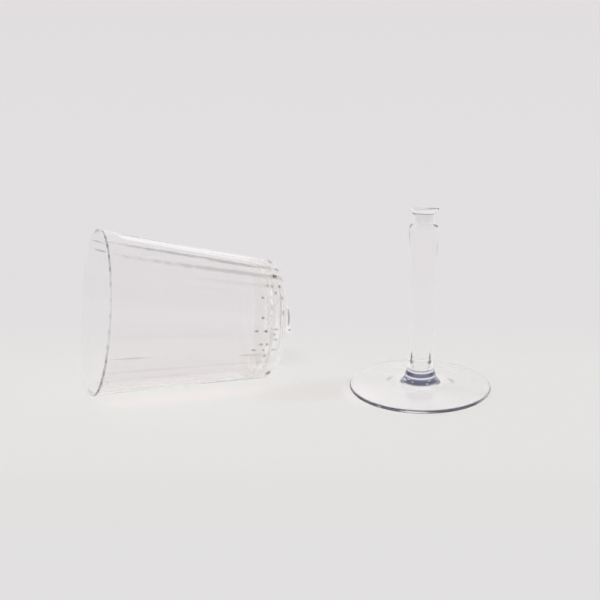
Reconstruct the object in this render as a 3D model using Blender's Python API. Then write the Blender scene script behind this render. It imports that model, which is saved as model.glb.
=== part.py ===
"""A wine glass snapped through the top of its stem.

Two pieces of clear glass are left: the bowl, lying on its side on its rim and on the
corner of its base, and the foot with its stem, still standing beside it.  Each piece was
blown or pressed as one body, so each is one solid.  The glass is modelled upright and
turned about its own axis; the bowl is then laid over.

Metres, +Z up, +X from the mouth of the fallen bowl to its base, origin under the middle
of both pieces on the surface they rest on.
"""
import math

import bmesh
import bpy
from mathutils import Matrix, Vector

MM = 0.001

# The bowl, measured along its axis from the plane of the rim.
BOWL_DEPTH = 84.5 * MM            # rim to the start of the base corner
RIM_RADIUS = 39.6 * MM            # cone radius at the rim, before the flare
BASE_RADIUS = 29.7 * MM           # cone radius where the base corner starts
FLARE = 1.05 * MM                 # outward curl of the lip
FLARE_REACH = 18.5 * MM           # how quickly the curl dies away down the wall
RIM_WALL = 1.4 * MM               # wall at the fire-polished lip
LOW_WALL = 2.4 * MM               # wall just above the base
BASE_CORNER = 5.0 * MM            # outer rounding of the base corner
BASE_DOME = 2.6 * MM              # how far the underside swells outwards
FLOOR_DEPTH = 86.2 * MM           # rim to the middle of the inside floor
FLOOR_DISH = 2.2 * MM             # rise of the inside floor towards its edge
INNER_CORNER = 8.0 * MM           # inside rounding between wall and floor

# Optic ribs moulded on the inside of the bowl.
RIBS = 34
RIB_LOW = 0.34 * MM               # rib height just above the base
RIB_HIGH = 0.05 * MM              # rib height over the rest of the wall
RIB_RISE = 15.0 * MM              # length over which the ribs come up towards the base

# Stub of the stem left on the underside of the bowl, broken off at a slant.
STUB_RADIUS = 6.9 * MM
STUB_FILLET = 1.6 * MM
STUB_END = 97.4 * MM              # rim to the middle of the broken face
STUB_SLANT = 1.5 * MM             # how much longer the stub is on its low side

# The foot and its stem, measured up from the surface.
FOOT_RADIUS = 34.6 * MM
FOOT_EDGE = 2.0 * MM              # thickness of the foot at its edge
LAND_INNER = 29.5 * MM            # flat ring that the foot stands on
LAND_OUTER = 33.2 * MM
FOOT_HOLLOW = 1.3 * MM            # height of the hollow under the foot
STEM_OUTLINE = (                  # radius, height: foot top, trumpet, waist, shoulder
    (33.9, 2.0), (27.0, 2.15), (20.0, 2.35), (15.0, 2.55), (12.2, 2.85), (10.6, 3.3), (9.5, 3.9),
    (8.7, 4.7), (8.15, 5.6), (7.7, 6.8), (7.3, 8.2), (6.8, 9.8), (6.35, 11.6), (6.05, 14.0),
    (5.88, 18.0), (5.7, 30.0), (5.75, 45.0), (6.1, 58.0), (6.75, 70.0), (7.15, 78.0),
    (7.2, 81.2), (6.95, 82.5), (6.35, 83.3),
)
NECK_RADIUS = 4.2 * MM            # short straight neck between shoulder and disc
NECK_FOOT = 83.9 * MM
NECK_FILLET = 0.35 * MM
NECK_TOP = 89.5 * MM
CAP_FILLET = 0.6 * MM
CAP_RADIUS = 6.7 * MM             # what is left of the disc under the bowl
CAP_EDGE = 89.9 * MM
CAP_TOP = 91.2 * MM

# Where the pieces came to rest: the middle of the foot from the middle of the rim.
FOOT_PLACE = Vector((153.8, -38.8, 0.0)) * MM

BOWL_SEGMENTS = 2 * RIBS
STEM_SEGMENTS = 40
WALL_STEPS = 6


def wall_radius(depth):
    """Outer radius of the bowl wall at a depth below the rim: a cone with a curled lip."""
    cone = RIM_RADIUS + (BASE_RADIUS - RIM_RADIUS) * depth / BOWL_DEPTH
    return cone + FLARE * math.exp(-depth / FLARE_REACH)


def wall_thickness(depth):
    """The glass is drawn thin at the lip and left thicker towards the base."""
    return RIM_WALL + (LOW_WALL - RIM_WALL) * (depth / BOWL_DEPTH) ** 1.5


def arc(centre, radius, start, end, steps):
    """Points on an arc, angles in degrees, both ends included."""
    angles = [math.radians(start + (end - start) * i / steps) for i in range(steps + 1)]
    return [(centre[0] + radius * math.cos(a), centre[1] + radius * math.sin(a)) for a in angles]


def bowl_outline():
    """Half section of the bowl as (radius, height), rim plane at height 0, pole to pole."""
    lean = math.degrees(math.atan((RIM_RADIUS - BASE_RADIUS) / BOWL_DEPTH))
    corner_centre = (BASE_RADIUS - BASE_CORNER, -BOWL_DEPTH)
    corner = arc(corner_centre, BASE_CORNER, -86, -lean, 4)
    dome_radius, dome_height = corner[0]

    outer = [(0.0, -STUB_END), (0.5 * STUB_RADIUS, -STUB_END), (0.92 * STUB_RADIUS, -STUB_END)]
    outer.append((STUB_RADIUS, -STUB_END + 0.5 * MM))
    fillet_centre_radius = STUB_RADIUS + STUB_FILLET
    dome_low = dome_height - BASE_DOME * (1 - (fillet_centre_radius / dome_radius) ** 2)
    outer += arc((fillet_centre_radius, dome_low - STUB_FILLET), STUB_FILLET, 180, 100, 2)
    for share in (0.55, 0.8):
        radius = dome_radius * share
        outer.append((radius, dome_height - BASE_DOME * (1 - share ** 2)))
    outer += corner
    for step in range(1, WALL_STEPS):
        depth = BOWL_DEPTH * (1 - step / WALL_STEPS) ** 1.3
        outer.append((wall_radius(depth), -depth))

    lip = RIM_WALL / 2
    lip_centre = (wall_radius(lip) - lip, -lip)
    rim = arc(lip_centre, lip, 0, 180, 4)

    inner = []
    floor_height = -FLOOR_DEPTH + FLOOR_DISH
    for step in range(1, WALL_STEPS + 1):
        depth = (-floor_height - INNER_CORNER) * (step / WALL_STEPS) ** 1.2
        inner.append((wall_radius(depth) - wall_thickness(depth), -depth))
    wall_end = inner[-1][0]
    inner += arc((wall_end - INNER_CORNER, floor_height + INNER_CORNER), INNER_CORNER, -22, -82, 3)
    edge_radius, edge_height = inner[-1]
    for share in (0.6, 0.3, 0.0):
        inner.append((edge_radius * share, -FLOOR_DEPTH + (edge_height + FLOOR_DEPTH) * share ** 2))
    return outer + rim + inner


def turn(name, outline, segments):
    """Turn a half section, bottom pole to top pole, about the Z axis into a closed body."""
    bm = bmesh.new()
    verts = [bm.verts.new((radius, 0.0, height)) for radius, height in outline]
    for low, high in zip(verts, verts[1:]):
        bm.edges.new((low, high))
    bmesh.ops.spin(bm, geom=bm.verts[:] + bm.edges[:], cent=(0, 0, 0), axis=(0, 0, 1),
                   angle=math.tau, steps=segments, use_merge=True)
    bmesh.ops.remove_doubles(bm, verts=bm.verts, dist=1e-6)
    bmesh.ops.recalc_face_normals(bm, faces=bm.faces)
    mesh = bpy.data.meshes.new(name)
    bm.to_mesh(mesh)
    bm.free()
    piece = bpy.data.objects.new(name, mesh)
    bpy.context.collection.objects.link(piece)
    return piece


def press_ribs(mesh):
    """Push the inside wall inwards in RIBS rounded ridges that fade over lip and floor."""
    for vert in mesh.vertices:
        radius = math.hypot(vert.co.x, vert.co.y)
        depth = -vert.co.z
        if depth < RIM_WALL or depth > FLOOR_DEPTH or radius < 0.5 * BASE_RADIUS:
            continue
        if radius > wall_radius(depth) - 0.6 * RIM_WALL:
            continue
        rise = max(0.0, 1 - (BOWL_DEPTH - depth) / RIB_RISE)
        height = RIB_HIGH + (RIB_LOW - RIB_HIGH) * min(1.0, rise) ** 1.5
        angle = math.atan2(vert.co.y, vert.co.x)
        squeeze = 1 - height * math.cos(RIBS * angle) / radius
        vert.co.x *= squeeze
        vert.co.y *= squeeze


def break_stub(mesh):
    """Slant and ripple the face where the stub tore off the stem."""
    for vert in mesh.vertices:
        reach = math.hypot(vert.co.x, vert.co.y) / STUB_RADIUS
        if vert.co.z > -STUB_END + 0.7 * MM or reach > 1.01:
            continue
        angle = math.atan2(vert.co.y, vert.co.x)
        slant = STUB_SLANT * reach * math.cos(angle)
        ripple = 0.35 * MM * reach * math.sin(3 * angle + 0.6) + 0.3 * MM * math.cos(3 * reach)
        vert.co.z += slant + ripple


def break_cap(mesh):
    """Chip the rim of the disc on the stem and slope its torn top away to the far side."""
    for vert in mesh.vertices:
        if vert.co.z < CAP_EDGE - 0.05 * MM:
            continue
        radius = math.hypot(vert.co.x, vert.co.y)
        angle = math.atan2(vert.co.y, vert.co.x)
        reach = radius / CAP_RADIUS
        chip = 1 + 0.05 * math.sin(2 * angle + 0.8) + 0.035 * math.sin(5 * angle + 2.0)
        vert.co.x *= chip
        vert.co.y *= chip
        vert.co.z -= 0.9 * MM * reach * math.sin(angle) * (vert.co.z > CAP_EDGE + 0.1 * MM)
        vert.co.z += 0.22 * MM * reach * math.sin(3 * angle + 1.0)


def rest_tilt():
    """Angle that lays the bowl on the roundings of its lip and of its base corner."""
    lip = RIM_WALL / 2
    drop = (wall_radius(lip) - lip) - (BASE_RADIUS - BASE_CORNER)
    run = BOWL_DEPTH - lip
    return math.atan(drop / run) - math.asin((BASE_CORNER - lip) / math.hypot(drop, run))


def lay_down(mesh):
    """Tip the upright bowl over so that its mouth faces -X, and set it on the surface."""
    tilt = rest_tilt()
    mesh.transform(Matrix.Rotation(-(math.pi / 2 - tilt), 4, 'Y'))
    lowest = min(vert.co.z for vert in mesh.vertices)
    mesh.transform(Matrix.Translation((0.0, 0.0, -lowest)))


def stem_outline():
    """Half section of the foot and stem as (radius, height), underside pole to broken top."""
    outline = [(LAND_INNER * share, FOOT_HOLLOW * (1 - share ** 2)) for share in (0, 0.35, 0.7)]
    outline += [(LAND_INNER, 0.0), (LAND_OUTER, 0.0)]
    half = FOOT_EDGE / 2
    outline += arc((FOOT_RADIUS - half, half), half, -45, 45, 2)
    outline += [(radius * MM, height * MM) for radius, height in STEM_OUTLINE]
    outline += arc((NECK_RADIUS + NECK_FILLET, NECK_FOOT + NECK_FILLET), NECK_FILLET, 270, 180, 1)
    outline += arc((NECK_RADIUS + CAP_FILLET, NECK_TOP - CAP_FILLET), CAP_FILLET, 180, 96, 2)
    outline += [(0.97 * CAP_RADIUS, CAP_EDGE), (CAP_RADIUS, CAP_EDGE + 0.3 * MM)]
    outline.append((CAP_RADIUS, CAP_TOP - 0.4 * MM))
    outline += [(0.9 * CAP_RADIUS, CAP_TOP), (0.45 * CAP_RADIUS, CAP_TOP), (0.0, CAP_TOP)]
    return outline


def glass(name, tint):
    """Clear colourless glass; the tint only tells the pieces apart."""
    material = bpy.data.materials.new(name)
    material.use_nodes = True
    shader = material.node_tree.nodes["Principled BSDF"]
    shader.inputs["Base Color"].default_value = (*tint, 1.0)
    shader.inputs["Metallic"].default_value = 0.0
    shader.inputs["Roughness"].default_value = 0.02
    shader.inputs["IOR"].default_value = 1.52
    shader.inputs["Transmission Weight"].default_value = 1.0
    return material


def smooth(piece):
    """Shade the turned surfaces round and keep the broken edges crisp."""
    piece.data.shade_smooth()
    piece.data.set_sharp_from_angle(angle=math.radians(38))


def make_bowl():
    bowl = turn("bowl", bowl_outline(), BOWL_SEGMENTS)
    press_ribs(bowl.data)
    break_stub(bowl.data)
    lay_down(bowl.data)
    bowl.data.materials.append(glass("bowl_glass", (0.93, 0.95, 0.95)))
    return bowl


def make_stem_and_foot():
    piece = turn("stem_and_foot", stem_outline(), STEM_SEGMENTS)
    break_cap(piece.data)
    piece.data.transform(Matrix.Translation(FOOT_PLACE))
    piece.data.materials.append(glass("stem_glass", (0.90, 0.93, 0.96)))
    return piece


def centre_on_origin(pieces):
    """Move both pieces together so that the origin lies under the middle of their box."""
    points = [vert.co for piece in pieces for vert in piece.data.vertices]
    low = Vector(min(point[axis] for point in points) for axis in range(3))
    high = Vector(max(point[axis] for point in points) for axis in range(3))
    shift = Matrix.Translation((-(low.x + high.x) / 2, -(low.y + high.y) / 2, -low.z))
    for piece in pieces:
        piece.data.transform(shift)


def main():
    for old in list(bpy.data.objects):
        bpy.data.objects.remove(old, do_unlink=True)
    pieces = [make_bowl(), make_stem_and_foot()]
    centre_on_origin(pieces)
    for piece in pieces:
        smooth(piece)


main()
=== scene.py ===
"""A wine glass snapped through its stem: the fallen bowl and the standing foot with its stem.

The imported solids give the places.  Each of the two pieces is turned again here as fine
glass, with rounded optic ribs inside the bowl, a drawn and tooled stem, and torn faces
where the stem broke.  Metres, +Z up, floor at 0.
"""
import math

import bmesh
import bpy
from mathutils import Matrix, Vector, noise


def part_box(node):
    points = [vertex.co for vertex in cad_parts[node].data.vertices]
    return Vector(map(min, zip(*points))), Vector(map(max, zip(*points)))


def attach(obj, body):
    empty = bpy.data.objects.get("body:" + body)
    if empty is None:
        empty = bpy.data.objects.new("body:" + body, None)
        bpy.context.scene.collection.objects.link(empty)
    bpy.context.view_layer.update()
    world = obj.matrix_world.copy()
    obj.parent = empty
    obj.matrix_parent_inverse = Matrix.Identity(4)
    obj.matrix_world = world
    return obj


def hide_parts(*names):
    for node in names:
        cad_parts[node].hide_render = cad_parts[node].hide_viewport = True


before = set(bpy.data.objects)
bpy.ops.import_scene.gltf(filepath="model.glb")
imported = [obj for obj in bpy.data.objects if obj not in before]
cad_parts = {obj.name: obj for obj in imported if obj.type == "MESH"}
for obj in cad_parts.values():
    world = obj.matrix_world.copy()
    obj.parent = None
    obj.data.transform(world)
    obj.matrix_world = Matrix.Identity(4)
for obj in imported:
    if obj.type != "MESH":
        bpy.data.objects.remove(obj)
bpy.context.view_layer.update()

MM = 0.001

# ---------------------------------------------------------------- sizes of the glass
# The bowl, measured along its axis from the plane of the rim.
BOWL_DEPTH = 84.5 * MM            # rim to the start of the base corner
RIM_RADIUS = 39.6 * MM            # cone radius at the rim, before the flare
BASE_RADIUS = 29.7 * MM           # cone radius where the base corner starts
FLARE = 1.05 * MM                 # outward curl of the lip
FLARE_REACH = 18.5 * MM           # how quickly the curl dies away down the wall
RIM_WALL = 1.4 * MM               # wall at the fire-polished lip
LOW_WALL = 2.4 * MM               # wall just above the base
WALL_SWELL = 1.5                  # power by which the wall thickens from lip to base
LIP_REACH = 12.0 * MM             # how far down the wall the worked lip reaches
LIP_THINNED = 0.8                 # share of the wall taken off the far side of the lip
LIP_FAR_START = -0.1              # sine of the angle where that side starts
LIP_FAR_SPAN = 0.4                # and over how much of the sine it comes in
LIP_BEAD = 0.18                   # how much thicker the lip is at each rib
LIP_BEAD_REACH = 2 * RIM_WALL     # length of a bead down the wall
BASE_CORNER = 5.0 * MM            # outer rounding of the base corner
CORNER_LEAN = 4                   # degrees short of flat where that rounding meets the underside
BASE_DOME = 2.6 * MM              # how far the underside swells outwards
FLOOR_DEPTH = 86.2 * MM           # rim to the middle of the inside floor
FLOOR_DISH = 2.2 * MM             # rise of the inside floor towards its edge
INNER_CORNER = 8.0 * MM           # inside rounding between wall and floor
INNER_LEAN = 8                    # degrees at which it leaves the wall and meets the floor

RIBS = 34                         # optic ribs moulded on the inside of the bowl
RIB_LOW = 0.16 * MM               # rib height just above the base
RIB_HIGH = 0.03 * MM              # rib height over the rest of the wall
RIB_RISE = 15.0 * MM              # length over which the ribs come up towards the base
RIB_SWELL = 1.5                   # power by which they come up
RIB_END = 0.35 * BASE_RADIUS      # radius on the floor at which they have died away
RIB_FADE = 0.5 * BASE_RADIUS      # width of floor over which they do
INNER_SKIN = 0.6 * RIM_WALL       # depth in the wall past which a point belongs to the inside

STUB_RADIUS = 6.9 * MM            # stub of the stem left under the bowl
STUB_FILLET = 1.6 * MM
STUB_END = 97.4 * MM              # rim to the middle of the broken face
STUB_EDGE = 0.25 * MM             # first ring up its side, which keeps the torn edge crisp
STUB_TORN = 0.4 * MM              # how far up its side the tearing reaches
STUB_SLANT = 1.5 * MM             # how much longer the stub is on its low side
STUB_LOBES = ((0.35 * MM, 3, 0.6),)  # waves round the torn face: height, how many, start in radians
STUB_SWELL = 0.3 * MM             # how far the middle of the torn face stands out
STUB_GRAIN = 0.12 * MM
FILLET_LEAN = 6                   # degrees short of flat where a fillet runs into a face

# The foot and its stem, measured up from the floor.
FOOT_RADIUS = 34.6 * MM
FOOT_EDGE = 2.0 * MM              # thickness of the foot at its edge
FOOT_EDGE_TURN = 60               # degrees that the edge is rounded above and below its middle
LAND_INNER = 29.5 * MM            # flat ring that the foot stands on
LAND_OUTER = 33.2 * MM
FOOT_HOLLOW = 1.3 * MM            # height of the hollow under the foot
STEM_OUTLINE = (                  # radius, height in mm: foot top, trumpet, waist, shoulder
    (33.9, 2.0), (27.0, 2.15), (20.0, 2.35), (15.0, 2.55), (12.2, 2.85), (10.6, 3.3), (9.5, 3.9),
    (8.7, 4.7), (8.15, 5.6), (7.7, 6.8), (7.3, 8.2), (6.8, 9.8), (6.35, 11.6), (6.05, 14.0),
    (5.88, 18.0), (5.7, 30.0), (5.75, 45.0), (6.1, 58.0), (6.75, 70.0), (7.15, 78.0),
    (7.2, 81.2), (6.95, 82.5), (6.35, 83.3),
)
NECK_RADIUS = 4.2 * MM            # short straight neck between shoulder and disc
NECK_FOOT = 83.9 * MM
NECK_FILLET = 0.35 * MM
NECK_TOP = 89.5 * MM
CAP_FILLET = 0.6 * MM
CAP_RADIUS = 6.7 * MM             # what is left of the disc under the bowl
CAP_EDGE = 89.9 * MM              # height where its edge starts
CAP_TOP = 91.2 * MM
CAP_OUTLINE = (                   # share of its radius, height in mm: underside and edge
    (0.85, 89.7), (0.97, 89.9), (1.0, 90.2), (1.0, 90.8), (0.98, 91.1),
)
CAP_SLACK = 0.05 * MM             # margin that tells its edge from what lies below or above
CAP_CHIPS = ((0.05, 2, 0.8), (0.035, 5, 2.0))  # share of the radius, how many round, start
CAP_LOBES = ((0.22 * MM, 3, 1.0),)  # waves round the disc, as for the stub
CAP_SLOPE = 0.9 * MM              # fall of the torn top to its far side
CAP_GRAIN = 0.06 * MM

TORN_GRAIN = 3.5 * MM             # width of the coarsest ripples of a torn face
TORN_NOISE = (0.9, 2.1, 3)        # how each finer layer fades, how much finer it is, layers
STUB_SEED = 3.0 * MM              # where in the noise each torn face lies
CAP_SEED = 9.0 * MM

# ---------------------------------------------------------------- glass colours
CLEAR = "fefefe"                  # glass without a tint
BOWL_TINT = "fbf8f9"              # a breath of violet in the pressed glass of the bowl
BASE_TINT_AND_SHADE = (                   # mm below the rim, beige tint and painted shade of the outside down to the base
    (71.5, "fefefe"), (72.4, "faf9f5"), (75.5, "faf9f5"), (77.5, "fdfcf8"), (80.5, "f5f3f0"),
    (82.5, "f0eeea"), (84.0, "efede9"), (86.5, "f4f2ef"), (95.0, "fefefe"),
)
LIP_LINE = (0.7, 0.7, 0.3)        # mm below the rim: middle, half width and core of the painted grey line of shade
LIP_PAINTED_SHADES = (                    # degrees from the top towards the near side, painted shade of the line, dark on the near side of the lip and clear on the far side
    (-34, "fefefe"), (-27, "c8c8ca"), (-12, "9c9ca0"), (8, "8e8e92"), (20, "88888c"),
    (28, "a8a8ac"), (40, "b0b0b4"), (50, "dcdcde"), (62, "f0f0f2"), (78, "e2e2e4"),
    (92, "e6e6e8"), (103, "b4b4b8"), (116, "a0a0a4"), (128, "949498"), (140, "8c8c90"),
    (160, "98989c"), (172, "c8c8ca"), (190, "fefefe"),
)
LIP_BEAD_POWER = 2.3              # how much darker the line is where a rib meets it
LIP_BEAD_CREST = (0.4, 0.95)      # from where to where up a rib it darkens, 1 is the rib's crest
TRUMPET_PAINTED_SHADE = (                 # mm above the table: a faint grey on the foot, then painted shade, the blue-black bands that refraction draws in the thick trumpet
    (0.0, "f8f8f7"), (3.8, "f8f8f7"), (4.25, "8a8a98"), (4.55, "242434"), (5.7, "20203a"),
    (6.5, "34344e"), (6.9, "6a6a84"), (7.2, "e6e6fa"), (7.55, "e6e6fa"), (7.85, "303048"),
    (9.5, "3c3c56"), (9.9, "ececf4"), (10.3, "ececf4"), (10.6, "80808e"), (11.0, "a0a0ac"),
    (11.4, "fefefe"),
)
NECK_TINT_AND_SHADE = (                    # and further up, a breath of pink with painted grey shade along the shoulder and the neck
    (50.0, "fefefe"), (62.0, "fcf8fa"), (82.8, "fcf8fa"), (83.3, "f4f2f3"), (84.1, "f3f0f1"),
    (86.0, "e7e3e4"), (89.2, "dcd8d9"), (89.7, "d0cdcf"), (90.2, "d8d5d8"), (90.6, "fefefe"),
)
NECK_FROM = 40.0 * MM             # height that parts the two tables of bands
FOOT_EDGE_SHADE = (                    # mm above the table, painted shade: the dark line round the outer edge of the foot
    (0.0, "4a4854"), (0.12, "201e28"), (1.75, "201e28"), (1.95, "e8e8f0"), (2.1, "fefefe"),
)
FOOT_LIGHTER_ANGLE = -36.4        # degrees from the front
FOOT_SHEEN = (                    # foot radii towards its lighter side, painted sheen of the foot
    (-1.0, "f0eeed"), (-0.5, "f2f0ef"), (0.0, "f7f6f5"), (0.5, "fcfcfb"), (1.0, "fefefd"),
)
FOOT_SHEEN_TOP = 4.0 * MM         # height below which the foot takes that painted sheen

# Painted light on the glass, shade and highlights, and the stem's two bubbles: how the colour is laid
# on, the colour, and soft ovals given by their middle and half size across and along.  Across is in
# degrees; on the bowl from the top towards the near side, on the stem from the front.  Along is in mm,
# down from the rim of the bowl or up from the table.
BOWL_PAINTED_LIGHT = (
    # painted shade: the dark lines that refraction draws down the wall
    ("MULTIPLY", "aaa5a4", ((16, 44, 3.0, 58), (17.8, 66, 3.0, 24))),
    ("MULTIPLY", "cac5c3", ((29.4, 84, 3.8, 96), (106.9, 71.5, 1.1, 7.5))),
    ("MULTIPLY", "d0ccd0", ((104.8, 13, 0.9, 13),)),
    ("MULTIPLY", "f3f0f3", ((41, 66, 2.8, 28), (117, 26, 2.2, 34), (126, 40, 2.2, 60),
                            (137, 30, 2.2, 50), (116, 62, 2.0, 22))),
    # painted shade: broad greyer zones, low down the wall and round the base
    ("MULTIPLY", "f6f4f5", ((118, 34, 22, 62),)),
    ("MULTIPLY", "ecebe8", ((92, 87, 30, 4), (112, 79, 10, 8), (64, 80.6, 14, 1.4), (88, 81, 10, 1.8),
                            (134, 78, 13, 9))),
    ("MULTIPLY", "e8ecea", ((40, 80.5, 9, 4.5),)),
    # painted shade: heavier dark strokes where the wall turns into the base
    ("MULTIPLY", "7a787e", ((-1, 84.4, 11, 1.9), (17, 86.2, 2.6, 1.8), (151.5, 68, 6, 26),
                            (152, 78, 8, 7))),
    ("MULTIPLY", "444248", ((28, 83.7, 3.2, 1.9), (136, 84.6, 6, 1.6))),
    ("MULTIPLY", "c8c6ca", ((66, 85.4, 36, 0.6),)),
    # painted shade: dark dots where the ribs end, with painted glints beside them
    ("MULTIPLY", "66646a", ((53.2, 76.2, 1.9, 1.3), (71.6, 76.1, 1.9, 1.4), (83.7, 73.3, 1.6, 1.9),
                            (83.8, 78.0, 1.7, 1.4), (40.1, 85.3, 2.4, 1.1))),
    ("MULTIPLY", "9a989e", ((96.2, 76.4, 1.8, 1.4), (101.8, 73.2, 1.5, 2.0), (108.5, 79.3, 2.0, 1.2),
                            (47.4, 83.0, 2.2, 1.1), (81.9, 83.4, 1.4, 2.0), (86.6, 82.6, 2.0, 1.1),
                            (91.5, 83.4, 1.4, 2.0), (102.0, 83.2, 1.4, 2.0), (40.6, 79.3, 2.2, 0.9),
                            (40.6, 81.4, 2.2, 0.9), (51.9, 86.2, 2.6, 0.9), (65.8, 86.6, 3.0, 0.8),
                            (96.2, 79.4, 1.6, 1.0), (102.0, 78.0, 1.5, 1.1))),
    ("MIX", "fefefe", ((83.8, 75.7, 1.3, 1.6), (98.6, 78.0, 1.3, 3.0), (89.0, 84.2, 1.2, 1.2))),
    # painted shade: short grey lines inside the far side of the lip, where the ribs show
    ("MULTIPLY", "b4b2b6", ((-45, 4.0, 1.5, 5.0), (-55, 6.0, 1.5, 4.6), (-172, 8.0, 1.5, 4.6),
                            (172.5, 6.5, 1.5, 3.0))),
    # painted shade along the edge of the torn stub
    ("MULTIPLY", "7a7880", ((62, 96.1, 58, 0.65), (122, 97.4, 12, 1.2))),
)
BARE_BASE = (86.0, 6.5, 26.7)     # unmarked middle of the base: mm below the rim, half span, radius
STEM_BUBBLES_AND_PAINTED_LIGHT = (
    # two air bubbles drawn up with the stem
    ("MULTIPLY", "4c4a52", ((-50.9, 14.9, 20, 1.7), (-50.5, 17.4, 8, 4.0), (48.1, 14.9, 20, 1.7),
                            (48.0, 17.4, 8, 4.0))),
    # painted shade: dark spots at the edges of the shoulder and round the chipped disc above it
    ("MULTIPLY", "7c7a80", ((-82, 82.9, 28, 1.1), (-85, 90.2, 14, 0.8), (20, 90.0, 34, 0.45))),
    ("MULTIPLY", "b6b4b8", ((-82, 78.5, 24, 8.0), (80, 72.0, 18, 6.0), (-24, 90.1, 30, 0.9))),
    ("MULTIPLY", "3c3a42", ((74, 83.5, 20, 1.0), (-46, 89.7, 13, 1.1), (88, 91.3, 18, 0.6))),
    # slightly darker just below the bubbles
    ("MULTIPLY", "e2e2e4", ((-44, 12.6, 24, 1.6), (46, 12.6, 24, 1.6))),
    # painted shade and highlights: mottled ends of the painted dark bands of the trumpet, and the dark
    # wisps beside it
    ("MULTIPLY", "6a6a90", ((-52, 9.0, 32, 1.3), (50, 9.0, 24, 1.2))),
    ("MIX", "30303e", ((-80, 3.95, 36, 0.5), (80, 3.95, 36, 0.5))),
    ("MIX", "b8b6bc", ((-66, 5.4, 14, 0.7), (-86, 4.7, 10, 0.6), (-46, 6.3, 12, 0.35),
                       (74, 5.6, 10, 0.5), (88, 4.8, 9, 0.4), (34, 6.2, 10, 0.3),
                       (-28, 5.6, 5, 0.4), (24, 5.0, 5, 0.35))),
    ("MULTIPLY", "c4c2c0", ((-106, 2.5, 18, 0.08), (106, 2.5, 20, 0.08))),
    ("MULTIPLY", "f5f4f5", ((62, 2.6, 36, 0.5),)),
    # painted highlights: the edge of the foot gleams through in front, and its painted dark line is
    # lighter in places
    ("MIX", "e6e6ec", ((-4, 0.95, 17, 0.6),)),
    ("MIX", "8a8a94", ((-34, 1.0, 2.4, 0.6), (72, 1.0, 24, 1.2))),
)
DISC_TOP_PAINTED_SHADE = (5.6, 90.5, 90.7, "cac5c6")  # painted grey shade on the torn top of the disc: radius, from and full at height, shade
# Light that the glass throws together on the table, and a faint shade: middle and half size in mm.
FLOOR_MARKS = (
    ("MIX", "e9e5e7", ((54, -32, 34, 27),)),
    ("MIX", "efebec", ((31, -22, 12, 18),)),
    ("MIX", "eae5e4", ((-52, -3, 60, 12),)),
    ("MULTIPLY", "fcf9f9", ((16, -12, 44, 18),)),
    ("MULTIPLY", "fafafa", ((8, 38, 18, 18),)),
)
MARK_EDGE = 0.35                  # how unevenly the ovals are bounded, share of their size
MARK_GRAIN = 4 * MM               # width of that unevenness
MARK_CORE = 0.3                   # share of an oval that has its full strength
STEM_FRONT = -109.6               # degrees, the direction taken as the front of the stem
# How matt the glass is: (distance along the axis in mm, roughness) from stop to stop.  The mould
# left the base of the bowl and the hollow under the foot satiny, and the torn faces are matt.
BOWL_MATT = ((74.0, 0.0), (80.0, 0.12), (95.0, 0.12), (96.0, 0.35))
STEM_MATT = ((1.31, 0.30), (1.32, 0.15), (3.3, 0.15), (3.8, 0.0), (82.4, 0.0), (83.4, 0.35))
GLASS_IOR = 1.52                  # soda-lime glass
WAVE_LENGTH = 9 * MM              # slow waves that the mould and the fire left in the surface
WAVE_HEIGHT = 0.006 * MM

# ---------------------------------------------------------------- studio
VIEW_AZIMUTH = -15.39             # degrees, the camera's place round the glass
VIEW_ELEVATION = 18.44
VIEW_DISTANCE = 918.5 * MM
VIEW_AIM = Vector((41.3, 124.9, 0.0)) * MM
VIEW_LENS = 96.0                  # mm, on a sensor of the next size
VIEW_SENSOR = 36.0

FLOOR_HALF = 8.0                  # metres
FLOOR_GAP = 0.15 * MM             # the table lies this much lower, clear of the glass
TABLE_REACH = 450.0 * MM          # how far the table goes on for what is seen in the glass
TABLE_SHADES = (                  # metres along the view, colour of the table there, with painted light: a band a shade lighter and warmer across the middle
    (-0.22, "e2e0e1"), (-0.12, "e2e1e0"), (-0.09, "e4e3e1"), (0.03, "e4e3e1"), (0.10, "e2e0e1"),
    (0.50, "e2e0e1"), (1.40, "e2dedf"),
)
STUDIO_SHADES = (                 # degrees above the horizon, shade of the studio there
    (-15, "e7e7e7"), (-2, "f1f1f1"), (3, "fcfcfc"), (17, "fcfcfc"), (19, "f1f1f1"), (60, "f1f1f1"),
    (75, "f9f9f9"),
)
GATHERED = 1.12                   # light that the glass throws together on the table round it
GLASS_BOUNCES = 128               # walls that light may cross before it comes out

# ---------------------------------------------------------------- fineness of the turning
BOWL_SEGMENTS = 12 * RIBS
STEM_SEGMENTS = 288
# Stretches laid on each part of the outlines.
WALL_STEPS = 34
OUTER_CROWD = 1.2                 # how much closer the rings of the wall lie towards the lip
INNER_CROWD = 1.15
LIP_STEPS = 12
CORNER_STEPS = 14                 # each rounding between wall and base
FLOOR_STEPS = 15
DOME_STEPS = 12
FACE_STEPS = 16                   # each torn face
STUB_STEPS = 8
STUB_FILLET_STEPS = 6
HOLLOW_STEPS = 20
FOOT_EDGE_STEPS = 10
CURVE_STEPS = 8                   # between two points of the stem's outline
NECK_FILLET_STEPS = 4
CAP_FILLET_STEPS = 5
SHARP_ANGLE = math.radians(40)    # edges sharper than this stay crisp when the rest is smoothed


# ---------------------------------------------------------------- outlines
def wall_radius(depth):
    """Outer radius of the bowl wall at a depth below the rim: a cone with a curled lip."""
    cone = RIM_RADIUS + (BASE_RADIUS - RIM_RADIUS) * depth / BOWL_DEPTH
    return cone + FLARE * math.exp(-depth / FLARE_REACH)


def wall_thickness(depth):
    """The glass is drawn thin at the lip and left thicker towards the base."""
    return RIM_WALL + (LOW_WALL - RIM_WALL) * (depth / BOWL_DEPTH) ** WALL_SWELL


def arc(centre, radius, start, end, steps):
    """Points on an arc, angles in degrees, both ends included."""
    angles = [math.radians(start + (end - start) * i / steps) for i in range(steps + 1)]
    return [(centre[0] + radius * math.cos(a), centre[1] + radius * math.sin(a)) for a in angles]


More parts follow.
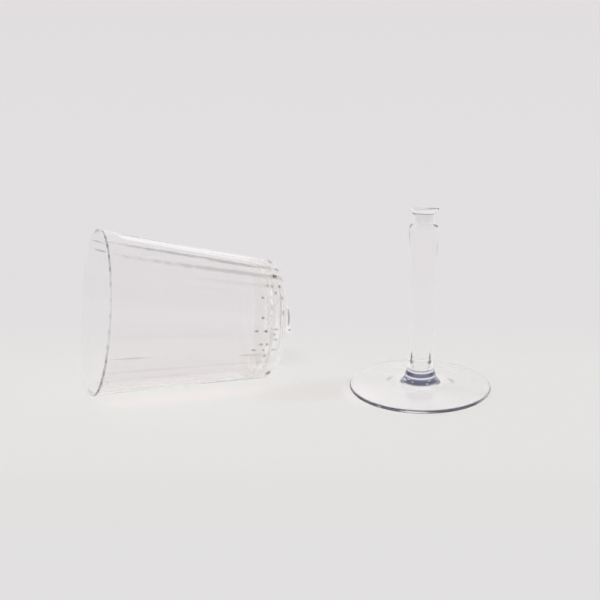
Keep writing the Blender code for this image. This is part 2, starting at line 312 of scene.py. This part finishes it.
def bowl_outline():
    """Half section of the bowl as (radius, height), rim plane at height 0, pole to pole."""
    lean = math.degrees(math.atan((RIM_RADIUS - BASE_RADIUS) / BOWL_DEPTH))
    corner = arc((BASE_RADIUS - BASE_CORNER, -BOWL_DEPTH), BASE_CORNER, CORNER_LEAN - 90, -lean,
                 CORNER_STEPS)
    dome_radius, dome_height = corner[0]

    outer = [(STUB_RADIUS * i / FACE_STEPS, -STUB_END) for i in range(FACE_STEPS)]
    outer.append((STUB_RADIUS, -STUB_END + STUB_EDGE))
    fillet_radius = STUB_RADIUS + STUB_FILLET
    dome_low = dome_height - BASE_DOME * (1 - (fillet_radius / dome_radius) ** 2)
    fillet_top = dome_low - STUB_FILLET
    side = [-STUB_END + (fillet_top + STUB_END) * i / STUB_STEPS for i in range(1, STUB_STEPS)]
    outer += [(STUB_RADIUS, height) for height in side]
    outer += arc((fillet_radius, fillet_top), STUB_FILLET, 180, 90 + FILLET_LEAN, STUB_FILLET_STEPS)
    for step in range(1, DOME_STEPS):
        radius = fillet_radius + (dome_radius - fillet_radius) * step / DOME_STEPS
        outer.append((radius, dome_height - BASE_DOME * (1 - (radius / dome_radius) ** 2)))
    outer += corner
    for step in range(1, WALL_STEPS):
        depth = BOWL_DEPTH * (1 - step / WALL_STEPS) ** OUTER_CROWD
        outer.append((wall_radius(depth), -depth))

    lip = RIM_WALL / 2
    rim = arc((wall_radius(lip) - lip, -lip), lip, 0, 180, LIP_STEPS)

    inner = []
    floor_height = -FLOOR_DEPTH + FLOOR_DISH
    for step in range(1, WALL_STEPS + 1):
        depth = (-floor_height - INNER_CORNER) * (step / WALL_STEPS) ** INNER_CROWD
        inner.append((wall_radius(depth) - wall_thickness(depth), -depth))
    centre = (inner[-1][0] - INNER_CORNER, floor_height + INNER_CORNER)
    inner += arc(centre, INNER_CORNER, -INNER_LEAN, INNER_LEAN - 90, CORNER_STEPS)
    edge_radius, edge_height = inner[-1]
    for step in range(FLOOR_STEPS - 1, -1, -1):
        share = step / FLOOR_STEPS
        inner.append((edge_radius * share, -FLOOR_DEPTH + (edge_height + FLOOR_DEPTH) * share ** 2))
    return outer + rim + inner


def smooth_curve(points, steps):
    """A smooth curve through a few outline points."""
    padded = [points[0], *points, points[-1]]
    curve = []
    for before, start, end, after in zip(padded, padded[1:], padded[2:], padded[3:]):
        for step in range(steps):
            t = step / steps
            curve.append(tuple(
                0.5 * (2 * b + (c - a) * t + (2 * a - 5 * b + 4 * c - d) * t * t
                       + (3 * b - a - 3 * c + d) * t ** 3)
                for a, b, c, d in zip(before, start, end, after)))
    curve.append(points[-1])
    return curve


def stem_outline():
    """Half section of the foot and stem as (radius, height), underside pole to broken top."""
    shares = [i / HOLLOW_STEPS for i in range(HOLLOW_STEPS)]
    outline = [(LAND_INNER * share, FOOT_HOLLOW * (1 - share ** 2)) for share in shares]
    outline += [(LAND_INNER, 0.0), (LAND_OUTER, 0.0)]
    half = FOOT_EDGE / 2
    outline += arc((FOOT_RADIUS - half, half), half, -FOOT_EDGE_TURN, FOOT_EDGE_TURN, FOOT_EDGE_STEPS)
    drawn = smooth_curve(STEM_OUTLINE, CURVE_STEPS)
    outline += [(radius * MM, height * MM) for radius, height in drawn]
    outline += arc((NECK_RADIUS + NECK_FILLET, NECK_FOOT + NECK_FILLET), NECK_FILLET, 270, 180,
                   NECK_FILLET_STEPS)
    outline += arc((NECK_RADIUS + CAP_FILLET, NECK_TOP - CAP_FILLET), CAP_FILLET, 180,
                   90 + FILLET_LEAN, CAP_FILLET_STEPS)
    outline += [(share * CAP_RADIUS, height * MM) for share, height in CAP_OUTLINE]
    outline += [(CAP_RADIUS * (FACE_STEPS - i) / (FACE_STEPS + 1), CAP_TOP) for i in range(FACE_STEPS)]
    outline.append((0.0, CAP_TOP))
    return outline


# ---------------------------------------------------------------- making the pieces
def turn(name, outline, segments):
    """Turn a half section, bottom pole to top pole, about the Z axis into a closed body."""
    bm = bmesh.new()
    verts = [bm.verts.new((radius, 0.0, height)) for radius, height in outline]
    for low, high in zip(verts, verts[1:]):
        bm.edges.new((low, high))
    bmesh.ops.spin(bm, geom=bm.verts[:] + bm.edges[:], cent=(0, 0, 0), axis=(0, 0, 1),
                   angle=math.tau, steps=segments, use_merge=True)
    bmesh.ops.remove_doubles(bm, verts=bm.verts, dist=0.0001 * MM)
    bmesh.ops.recalc_face_normals(bm, faces=bm.faces)
    mesh = bpy.data.meshes.new(name)
    bm.to_mesh(mesh)
    bm.free()
    piece = bpy.data.objects.new(name, mesh)
    bpy.context.collection.objects.link(piece)
    return piece


def press_ribs(mesh):
    """Push the inside wall inwards in rounded ridges that fade over the lip and the floor."""
    for vert in mesh.vertices:
        radius = math.hypot(vert.co.x, vert.co.y)
        depth = -vert.co.z
        if depth > FLOOR_DEPTH or radius < RIB_END:
            continue
        if radius > wall_radius(depth) - INNER_SKIN:
            continue
        rise = max(0.0, 1 - (BOWL_DEPTH - depth) / RIB_RISE)
        height = RIB_HIGH + (RIB_LOW - RIB_HIGH) * min(1.0, rise) ** RIB_SWELL
        height *= min(1.0, depth / RIM_WALL)
        height *= min(1.0, (radius - RIB_END) / RIB_FADE)
        angle = math.atan2(vert.co.y, vert.co.x)
        squeeze = 1 - height * math.cos(RIBS * angle) / radius
        vert.co.x *= squeeze
        vert.co.y *= squeeze


def wear_lip(mesh):
    """Fire-polishing left the lip thin on its far side; small beads sit where the ribs reach it."""
    for vert in mesh.vertices:
        depth = -vert.co.z
        if depth > LIP_REACH:
            continue
        radius = math.hypot(vert.co.x, vert.co.y)
        angle = math.atan2(vert.co.y, vert.co.x)
        fade = 1 - depth / LIP_REACH
        far = min(1.0, max(0.0, (math.sin(angle) - LIP_FAR_START) / LIP_FAR_SPAN))
        outside = wall_radius(max(depth, 0.0))
        into = outside - radius
        into *= 1 - LIP_THINNED * fade * far
        bead = 0.5 + 0.5 * math.cos(RIBS * angle)
        into *= 1 + LIP_BEAD * bead * (1 - far) * max(0.0, 1 - depth / LIP_BEAD_REACH)
        scale = (outside - into) / radius
        vert.co.x *= scale
        vert.co.y *= scale


def waves_round(angle, waves):
    """Sum of waves round an axis, each given by its height, how many go round and its start."""
    return sum(height * math.sin(count * angle + start) for height, count, start in waves)


def torn_grain(vert, seed):
    """Fine unevenness of a torn face; the seed gives each face its own."""
    return noise.fractal(Vector((vert.co.x, vert.co.y, seed)) / TORN_GRAIN, *TORN_NOISE)


def break_stub(mesh):
    """Slant and ripple the face where the stub tore off the stem."""
    for vert in mesh.vertices:
        reach = math.hypot(vert.co.x, vert.co.y) / STUB_RADIUS
        if vert.co.z > -STUB_END + STUB_TORN or reach > 1.01:
            continue
        angle = math.atan2(vert.co.y, vert.co.x)
        slant = STUB_SLANT * reach * math.cos(angle)
        ripple = reach * waves_round(angle, STUB_LOBES) + STUB_SWELL * math.cos(3 * reach)
        vert.co.z += slant + ripple + STUB_GRAIN * torn_grain(vert, STUB_SEED)


def break_cap(mesh):
    """Chip the rim of the disc on the stem and slope its torn top away to the far side."""
    for vert in mesh.vertices:
        if vert.co.z < CAP_EDGE - CAP_SLACK:
            continue
        reach = math.hypot(vert.co.x, vert.co.y) / CAP_RADIUS
        angle = math.atan2(vert.co.y, vert.co.x)
        chip = 1 + waves_round(angle, CAP_CHIPS)
        vert.co.x *= chip
        vert.co.y *= chip
        on_top = vert.co.z > CAP_EDGE + 2 * CAP_SLACK
        vert.co.z -= CAP_SLOPE * reach * math.sin(angle) * on_top
        vert.co.z += reach * waves_round(angle, CAP_LOBES)
        vert.co.z += CAP_GRAIN * torn_grain(vert, CAP_SEED) * on_top


def rest_tilt():
    """Angle that lays the bowl on the roundings of its lip and of its base corner."""
    lip = RIM_WALL / 2
    drop = (wall_radius(lip) - lip) - (BASE_RADIUS - BASE_CORNER)
    run = BOWL_DEPTH - lip
    return math.atan(drop / run) - math.asin((BASE_CORNER - lip) / math.hypot(drop, run))


def mesh_box(mesh):
    """Lowest and highest corner of a mesh."""
    low = Vector(min(vert.co[axis] for vert in mesh.vertices) for axis in range(3))
    high = Vector(max(vert.co[axis] for vert in mesh.vertices) for axis in range(3))
    return low, high


def place_on(mesh, node):
    """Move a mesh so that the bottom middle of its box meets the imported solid's; give the move."""
    low, high = mesh_box(mesh)
    node_low, node_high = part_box(node)
    shift = (node_low + node_high - low - high) / 2
    shift.z = node_low.z - low.z
    mesh.transform(Matrix.Translation(shift))
    return shift


# ---------------------------------------------------------------- materials
def srgb(code):
    """A hex colour such as "c8ccd0" as linear values, opaque."""
    channels = [int(code[i:i + 2], 16) / 255 for i in (0, 2, 4)]
    return (*(c / 12.92 if c <= 0.04045 else ((c + 0.055) / 1.055) ** 2.4 for c in channels), 1.0)


def node(tree, kind, inputs=None, **settings):
    """Add a node with its settings; each input follows a socket or is given a plain value."""
    added = tree.nodes.new(kind)
    for key, value in settings.items():
        setattr(added, key, value)
    for name, value in (inputs or {}).items():
        if isinstance(value, bpy.types.NodeSocket):
            tree.links.new(value, added.inputs[name])
        else:
            added.inputs[name].default_value = value
    return added


def shades(tree, value, stops, unit=1.0):
    """Colours along a value, from (place, hex colour) stops; places are in a unit of the value."""
    first, last = stops[0][0], stops[-1][0]
    share = node(tree, "ShaderNodeMapRange", {"Value": value, "From Min": first * unit,
                                              "From Max": last * unit})
    ramp = node(tree, "ShaderNodeValToRGB", {"Fac": share.outputs["Result"]})
    elements = ramp.color_ramp.elements
    for at, _ in stops[1:-1]:
        elements.new((at - first) / (last - first))
    for element, (_, code) in zip(elements, stops):
        element.color = srgb(code)
    return ramp.outputs["Color"]


def turned_place(tree, middle, rotation):
    """Where on a turned piece: angle round its axis, distance along it, radius, (angle, along, 0)."""
    coords = node(tree, "ShaderNodeTexCoord")
    upright = node(tree, "ShaderNodeMapping", {"Vector": coords.outputs["Object"], "Location": middle,
                                               "Rotation": rotation}, vector_type="TEXTURE")
    parts = node(tree, "ShaderNodeSeparateXYZ", {"Vector": upright.outputs["Vector"]})
    angle = node(tree, "ShaderNodeMath", {0: parts.outputs["Y"], 1: parts.outputs["X"]},
                 operation="ARCTAN2")
    place = node(tree, "ShaderNodeCombineXYZ", {"X": angle.outputs[0], "Y": parts.outputs["Z"]})
    flat = node(tree, "ShaderNodeCombineXYZ", {"X": parts.outputs["X"], "Y": parts.outputs["Y"]})
    radius = node(tree, "ShaderNodeVectorMath", {0: flat.outputs["Vector"]}, operation="LENGTH")
    return angle.outputs[0], parts.outputs["Z"], radius.outputs["Value"], place.outputs["Vector"]


def marked(tree, colour, place, marks, unit):
    """Lay the groups of marks over a colour; unit is that of their places across."""
    coords = node(tree, "ShaderNodeTexCoord")
    uneven = node(tree, "ShaderNodeTexNoise", {"Vector": coords.outputs["Object"],
                                               "Scale": 1 / MARK_GRAIN})
    for blend, code, ovals in marks:
        nearest = 9.0  # further out than any oval reaches
        for across, along, half_across, half_along in ovals:
            scale = (1 / (half_across * unit), 1 / (half_along * MM), 0)
            start = (-across / half_across, -along / half_along, 0)
            place_in = node(tree, "ShaderNodeVectorMath", {0: place, 1: scale, 2: start},
                            operation="MULTIPLY_ADD")
            reach = node(tree, "ShaderNodeVectorMath", {0: place_in.outputs["Vector"]},
                         operation="LENGTH")
            nearest = node(tree, "ShaderNodeMath", {0: reach.outputs["Value"], 1: nearest},
                           operation="MINIMUM").outputs[0]
        edge = node(tree, "ShaderNodeMath", {0: uneven.outputs["Fac"], 1: 2 * MARK_EDGE, 2: nearest},
                    operation="MULTIPLY_ADD")
        share = node(tree, "ShaderNodeMapRange", {"Value": edge.outputs[0], "From Min": 1 + MARK_EDGE,
                                                  "From Max": MARK_CORE + MARK_EDGE},
                     interpolation_type="SMOOTHSTEP")
        colour = node(tree, "ShaderNodeMix", {0: share.outputs["Result"], 6: colour, 7: srgb(code)},
                      data_type="RGBA", blend_type=blend).outputs[2]
    return colour


def through_glass(tree):
    """1 for what is seen in glass, by reflection or through it."""
    rays = node(tree, "ShaderNodeLightPath")
    seen = node(tree, "ShaderNodeMath",
                {0: rays.outputs["Is Glossy Ray"], 1: rays.outputs["Is Transmission Ray"]},
                operation="MAXIMUM")
    return seen.outputs[0]


def after_table(tree):
    """1 for the light that falls on the table, as against what is seen directly or in glass."""
    rays = node(tree, "ShaderNodeLightPath")
    bounced = node(tree, "ShaderNodeMath", {0: rays.outputs["Diffuse Depth"], 1: 0.5},
                   operation="GREATER_THAN")
    return bounced.outputs[0]


def glass(name, colour_of, middle, rotation, matt):
    """Soda-lime glass, fire-polished: clear and bright, with crisp edges and bent views through it.

    It is tinted, and painted with shade and highlights, by colour_of, and satiny or torn dull in the
    zones of matt.  The tint and the painted light work where sight goes into the glass; light on its
    way out, or to the table, stays clear.  Slow waves left by the mould and the fire bend what is
    seen through it.
    """
    material = bpy.data.materials.new(name)
    material.use_nodes = True
    tree = material.node_tree
    shader = tree.nodes["Principled BSDF"]
    shader.inputs["IOR"].default_value = GLASS_IOR
    shader.inputs["Transmission Weight"].default_value = 1.0

    place = turned_place(tree, middle, rotation)
    geometry = node(tree, "ShaderNodeNewGeometry")
    clear = node(tree, "ShaderNodeMath", {0: after_table(tree), 1: geometry.outputs["Backfacing"]},
                 operation="MAXIMUM")
    skin = node(tree, "ShaderNodeMix", {0: clear.outputs[0], 6: colour_of(tree, *place), 7: srgb(CLEAR)},
                data_type="RGBA")
    tree.links.new(skin.outputs[2], shader.inputs["Base Color"])

    roughness = matt[0][1]
    for (start, before), (end, after) in zip(matt, matt[1:]):
        step = node(tree, "ShaderNodeMapRange", {"Value": place[1], "From Min": start * MM,
                                                 "From Max": end * MM, "To Max": after - before})
        roughness = node(tree, "ShaderNodeMath", {0: step.outputs["Result"], 1: roughness}).outputs[0]
    tree.links.new(roughness, shader.inputs["Roughness"])

    coords = node(tree, "ShaderNodeTexCoord")
    waves = node(tree, "ShaderNodeTexNoise", {"Vector": coords.outputs["Object"],
                                              "Scale": 1 / WAVE_LENGTH, "Detail": 1.0})
    bump = node(tree, "ShaderNodeBump", {"Height": waves.outputs["Fac"], "Strength": 1.0,
                                         "Distance": WAVE_HEIGHT})
    tree.links.new(bump.outputs["Normal"], shader.inputs["Normal"])
    return material


def beaded_lip_shade(tree, colour, angle, depth):
    """Lay the painted grey line of shade along the lip over a colour, darker where each rib meets it."""
    # painted shade along the lip, dark on its near side
    shade = shades(tree, angle, LIP_PAINTED_SHADES, math.radians(1))
    ribs = node(tree, "ShaderNodeMath", {0: angle, 1: float(RIBS)}, operation="MULTIPLY")
    crest = node(tree, "ShaderNodeMath", {0: ribs.outputs[0]}, operation="COSINE")
    foot, top = LIP_BEAD_CREST
    beads = node(tree, "ShaderNodeMapRange", {"Value": crest.outputs[0], "From Min": foot,
                                              "From Max": top, "To Min": 1.0,
                                              "To Max": LIP_BEAD_POWER})
    lip = node(tree, "ShaderNodeGamma", {"Color": shade, "Gamma": beads.outputs["Result"]})
    middle, half, core = (size * MM for size in LIP_LINE)
    below = node(tree, "ShaderNodeMath", {0: depth, 1: middle}, operation="SUBTRACT")
    away = node(tree, "ShaderNodeMath", {0: below.outputs[0]}, operation="ABSOLUTE")
    on_lip = node(tree, "ShaderNodeMapRange", {"Value": away.outputs[0], "From Min": half,
                                               "From Max": core})
    return node(tree, "ShaderNodeMix", {0: on_lip.outputs["Result"], 6: colour, 7: lip.outputs["Color"]},
                data_type="RGBA", blend_type="MULTIPLY").outputs[2]


def bowl_colour(tree, angle, depth, radius, place):
    """Pressed bowl: a breath of violet, with painted shade: dark lines down the wall, a greyer base,
    dark dots and painted glints where the ribs end, a beaded grey line along the lip.
    """
    tint = srgb(BOWL_TINT)
    # painted shade and highlights over the bowl's violet tint
    colour = marked(tree, tint, place, BOWL_PAINTED_LIGHT, math.radians(1))
    taper = (BASE_RADIUS - RIM_RADIUS) / BOWL_DEPTH
    middle_of_wall = node(tree, "ShaderNodeMath", {0: depth, 1: taper, 2: RIM_RADIUS - RIM_WALL},
                          operation="MULTIPLY_ADD")
    outside = node(tree, "ShaderNodeMath", {0: radius, 1: middle_of_wall.outputs[0]},
                   operation="GREATER_THAN")
    # beige tint and painted shade of the outside towards the base
    shade = shades(tree, depth, BASE_TINT_AND_SHADE, MM)
    colour = node(tree, "ShaderNodeMix", {0: outside.outputs[0], 6: colour, 7: shade},
                  data_type="RGBA", blend_type="MULTIPLY").outputs[2]
    bare_depth, bare_half, bare_radius = (size * MM for size in BARE_BASE)
    low = node(tree, "ShaderNodeMath", {0: depth, 1: bare_depth, 2: bare_half}, operation="COMPARE")
    within = node(tree, "ShaderNodeMath", {0: radius, 1: bare_radius}, operation="LESS_THAN")
    bare = node(tree, "ShaderNodeMath", {0: low.outputs[0], 1: within.outputs[0]}, operation="MULTIPLY")
    colour = node(tree, "ShaderNodeMix", {0: bare.outputs[0], 6: colour, 7: tint},
                  data_type="RGBA").outputs[2]
    return beaded_lip_shade(tree, colour, angle, depth)


def stem_colour(tree, angle, height, radius, place):
    """Drawn stem on a spun foot, with painted shade: blue-black bands where the glass is thick, a dark
    line round the foot's edge, greys on the neck and disc, and a painted sheen on the foot.
    """
    # painted shade in bands: the trumpet's blue-black bands, the grey neck and the dark line round the
    # foot's edge
    is_neck = node(tree, "ShaderNodeMath", {0: height, 1: NECK_FROM}, operation="GREATER_THAN")
    trumpet = shades(tree, height, TRUMPET_PAINTED_SHADE, MM)
    neck = shades(tree, height, NECK_TINT_AND_SHADE, MM)
    stem = node(tree, "ShaderNodeMix", {0: is_neck.outputs[0], 6: trumpet, 7: neck}, data_type="RGBA")
    is_edge = node(tree, "ShaderNodeMath", {0: radius, 1: LAND_OUTER}, operation="GREATER_THAN")
    bands = node(tree, "ShaderNodeMix", {0: is_edge.outputs[0], 6: stem.outputs[2],
                                         7: shades(tree, height, FOOT_EDGE_SHADE, MM)}, data_type="RGBA")
    # painted shade and highlights on the stem, and its two bubbles
    colour = marked(tree, bands.outputs[2], place, STEM_BUBBLES_AND_PAINTED_LIGHT, math.radians(1))
    # painted grey shade on the torn top of the disc
    top_radius, top_from, top_full, top_code = DISC_TOP_PAINTED_SHADE
    inside = node(tree, "ShaderNodeMath", {0: radius, 1: top_radius * MM}, operation="LESS_THAN")
    on_top = node(tree, "ShaderNodeMapRange", {"Value": height, "From Min": top_from * MM,
                                               "From Max": top_full * MM, "To Max": inside.outputs[0]})
    colour = node(tree, "ShaderNodeMix", {0: on_top.outputs["Result"], 6: colour, 7: srgb(top_code)},
                  data_type="RGBA", blend_type="MULTIPLY").outputs[2]

    # painted sheen across the foot, lighter towards one side
    turned = node(tree, "ShaderNodeMath", {0: angle, 1: math.radians(FOOT_LIGHTER_ANGLE)},
                  operation="SUBTRACT")
    towards = node(tree, "ShaderNodeMath", {0: turned.outputs[0]}, operation="COSINE")
    across = node(tree, "ShaderNodeMath", {0: towards.outputs[0], 1: radius}, operation="MULTIPLY")
    sheen = shades(tree, across.outputs[0], FOOT_SHEEN, FOOT_RADIUS)
    is_low = node(tree, "ShaderNodeMath", {0: height, 1: FOOT_SHEEN_TOP}, operation="LESS_THAN")
    return node(tree, "ShaderNodeMix", {0: is_low.outputs[0], 6: colour, 7: sheen},
                data_type="RGBA", blend_type="MULTIPLY").outputs[2]


def finish_piece(piece, node_name, material):
    """Smooth a piece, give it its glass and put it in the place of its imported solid."""
    piece.data.shade_smooth()
    piece.data.set_sharp_from_angle(angle=SHARP_ANGLE)
    piece.data.materials.append(material)
    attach(piece, "root")
    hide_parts(node_name)


def make_bowl():
    """The fallen bowl: turned, ribbed, worn and torn mouth up, then laid down on the table."""
    bowl = turn("ribbed_bowl", bowl_outline(), BOWL_SEGMENTS)
    press_ribs(bowl.data)
    wear_lip(bowl.data)
    break_stub(bowl.data)
    tilt = rest_tilt() - math.pi / 2
    bowl.data.transform(Matrix.Rotation(tilt, 4, 'Y'))
    shift = place_on(bowl.data, "bowl")
    pressed = glass("pressed_soda_lime_glass", bowl_colour, shift, (math.pi, tilt, 0.0), BOWL_MATT)
    finish_piece(bowl, "bowl", pressed)


def make_stem():
    """The foot and stem, still standing, with the chipped disc on top."""
    stem = turn("standing_stem", stem_outline(), STEM_SEGMENTS)
    break_cap(stem.data)
    shift = place_on(stem.data, "stem_and_foot")
    front = (0.0, 0.0, math.radians(STEM_FRONT))
    drawn = glass("drawn_soda_lime_glass", stem_colour, shift, front, STEM_MATT)
    finish_piece(stem, "stem_and_foot", drawn)


# ---------------------------------------------------------------- studio
def table_material():
    """Matt white laminate, even apart from painted light: a band a shade lighter and warmer across the
    view where the glass stands, and painted pools of light and faint shade from the glass.
    """
    material = bpy.data.materials.new("matt_white_table")
    material.use_nodes = True
    tree = material.node_tree
    shader = tree.nodes["Principled BSDF"]
    shader.inputs["Roughness"].default_value = 1.0
    shader.inputs["Specular IOR Level"].default_value = 0.0
    coords = node(tree, "ShaderNodeTexCoord")
    along = node(tree, "ShaderNodeVectorMath", {0: coords.outputs["Object"], 1: view_direction(0.0)},
                 operation="DOT_PRODUCT")
    # painted light: a band a shade lighter across the view where the glass stands
    colour = shades(tree, along.outputs["Value"], TABLE_SHADES)
    colour = marked(tree, colour, coords.outputs["Object"], FLOOR_MARKS, MM)
    tree.links.new(colour, shader.inputs["Base Color"])

    # Glass looks past the edge of the table; nothing else does.
    reach = node(tree, "ShaderNodeVectorMath", {0: coords.outputs["Object"]}, operation="LENGTH")
    beyond = node(tree, "ShaderNodeMath", {0: reach.outputs["Value"], 1: TABLE_REACH},
                  operation="GREATER_THAN")
    open_air = node(tree, "ShaderNodeMath", {0: beyond.outputs[0], 1: through_glass(tree)},
                    operation="MULTIPLY")
    air = node(tree, "ShaderNodeBsdfTransparent")
    mix = node(tree, "ShaderNodeMixShader", {0: open_air.outputs[0], 1: shader.outputs[0],
                                             2: air.outputs[0]})
    tree.links.new(mix.outputs[0], tree.nodes["Material Output"].inputs["Surface"])
    return material


def make_floor():
    """The table top, far larger than the view."""
    mesh = bpy.data.meshes.new("floor")
    bm = bmesh.new()
    bmesh.ops.create_grid(bm, x_segments=1, y_segments=1, size=FLOOR_HALF)
    bm.to_mesh(mesh)
    bm.free()
    mesh.transform(Matrix.Translation((0, 0, -FLOOR_GAP)))
    floor = bpy.data.objects.new("floor", mesh)
    bpy.context.collection.objects.link(floor)
    floor.data.materials.append(table_material())


def make_world():
    """Soft white light all round, a little uneven where it is seen through the glass."""
    world = bpy.data.worlds.new("studio")
    bpy.context.scene.world = world
    world.use_nodes = True
    tree = world.node_tree
    coords = node(tree, "ShaderNodeTexCoord")
    parts = node(tree, "ShaderNodeSeparateXYZ", {"Vector": coords.outputs["Generated"]})
    height = node(tree, "ShaderNodeMath", {0: parts.outputs["Z"]}, operation="ARCSINE")
    seen = shades(tree, height.outputs[0], STUDIO_SHADES, math.radians(1))
    gathered = node(tree, "ShaderNodeMix", {0: after_table(tree), 6: seen,
                                            7: (GATHERED, GATHERED, GATHERED, 1.0)}, data_type="RGBA")
    light = node(tree, "ShaderNodeMix", {0: through_glass(tree), 6: (1.0, 1.0, 1.0, 1.0),
                                         7: gathered.outputs[2]}, data_type="RGBA")
    background = tree.nodes["Background"]
    tree.links.new(light.outputs[2], background.inputs["Color"])
    background.inputs["Strength"].default_value = 1.0


def set_glass_bounces():
    """Light crosses many walls inside two pieces of thick glass before it comes out."""
    cycles = bpy.context.scene.cycles
    cycles.max_bounces = GLASS_BOUNCES
    cycles.glossy_bounces = GLASS_BOUNCES
    cycles.transmission_bounces = GLASS_BOUNCES
    cycles.blur_glossy = 0.0


def view_direction(elevation):
    """Unit vector from the camera into the scene, at an elevation in radians below level."""
    azimuth = math.radians(VIEW_AZIMUTH)
    level = math.cos(elevation)
    return Vector((-math.sin(azimuth) * level, math.cos(azimuth) * level, -math.sin(elevation)))


def make_camera():
    """A long lens, a little above the table."""
    forward = view_direction(math.radians(VIEW_ELEVATION))
    data = bpy.data.cameras.new("camera")
    data.lens = VIEW_LENS
    data.sensor_width = VIEW_SENSOR
    camera = bpy.data.objects.new("camera", data)
    bpy.context.collection.objects.link(camera)
    camera.location = VIEW_AIM - forward * VIEW_DISTANCE
    camera.rotation_euler = forward.to_track_quat('-Z', 'Y').to_euler()
    bpy.context.scene.camera = camera


set_glass_bounces()
make_camera()
make_world()
make_floor()
make_bowl()
make_stem()

bpy.context.scene.view_settings.view_transform = "Standard"
